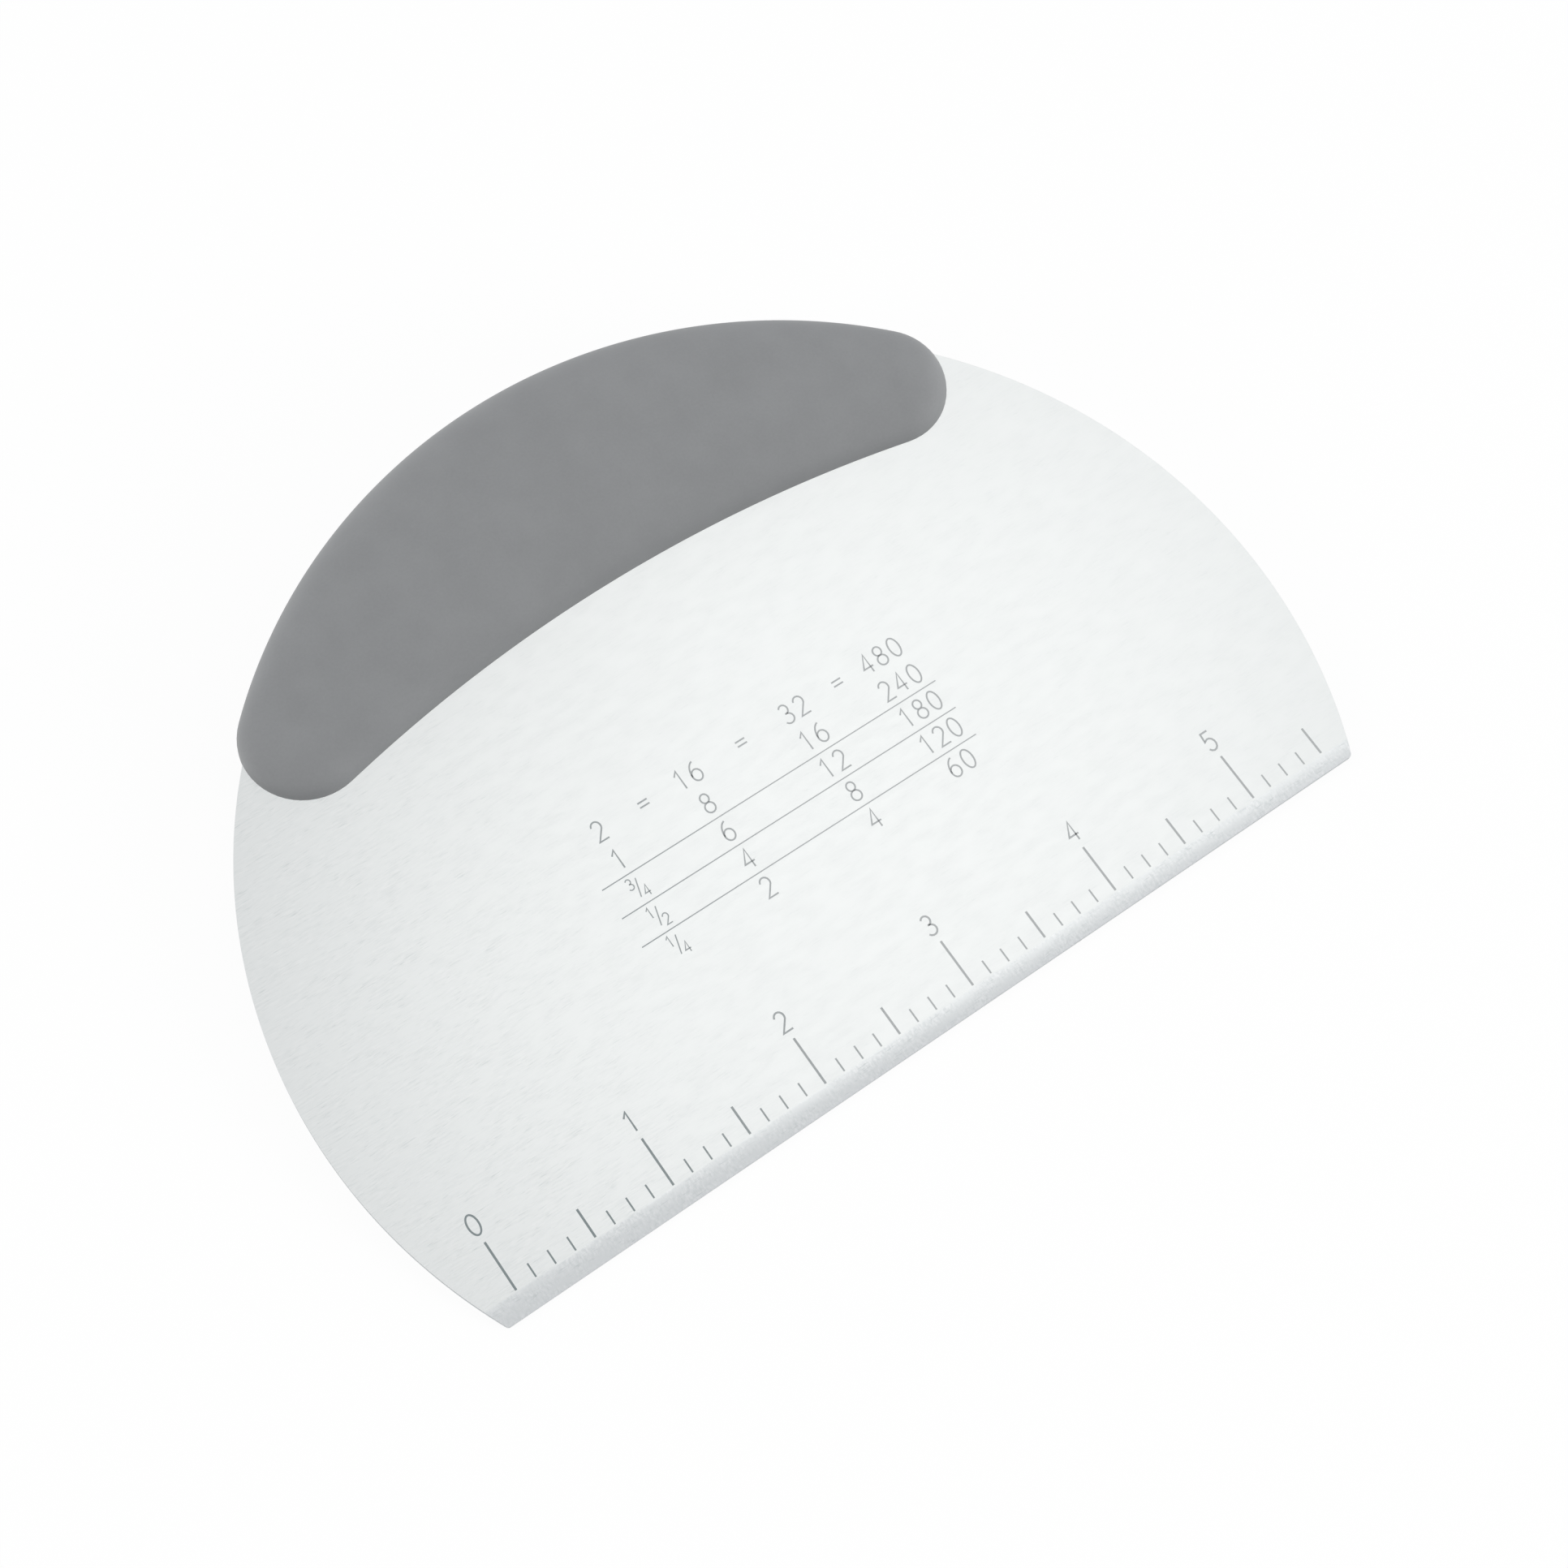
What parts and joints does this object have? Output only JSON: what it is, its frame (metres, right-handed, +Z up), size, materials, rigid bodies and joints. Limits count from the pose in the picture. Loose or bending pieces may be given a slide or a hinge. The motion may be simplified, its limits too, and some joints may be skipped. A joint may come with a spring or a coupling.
{
  "type": "dough scraper",
  "caption": "Half-moon dough scraper: flat steel blade with a bevelled straight edge and a soft crescent grip along its curved side.",
  "frame": {"origin": "Under the middle of the scraper's box, on the surface that it lies on.", "axes": "+X along the straight edge, to the right when the grip is at the top. +Y from the straight edge towards the grip. +Z up, out of the ruled front face. The scraper lies on its back, on its straight edge and the grip's belly, so its blade leans about 5 degrees."},
  "size_m": [0.1622, 0.1168, 0.0191],
  "materials": {
    "blade_steel": "Stainless steel, finely brushed along the straight edge, with a cross-ground bevel on the front face.",
    "core_plastic": "Unpainted moulded plastic, hidden inside the grip.",
    "grip_rubber": "Smooth matt mid-grey soft-touch rubber."
  },
  "bodies": {
    "root": {"blade": "blade_steel", "front_core": "core_plastic", "rear_core": "core_plastic", "grip": "grip_rubber"}
  },
  "joints": []
}
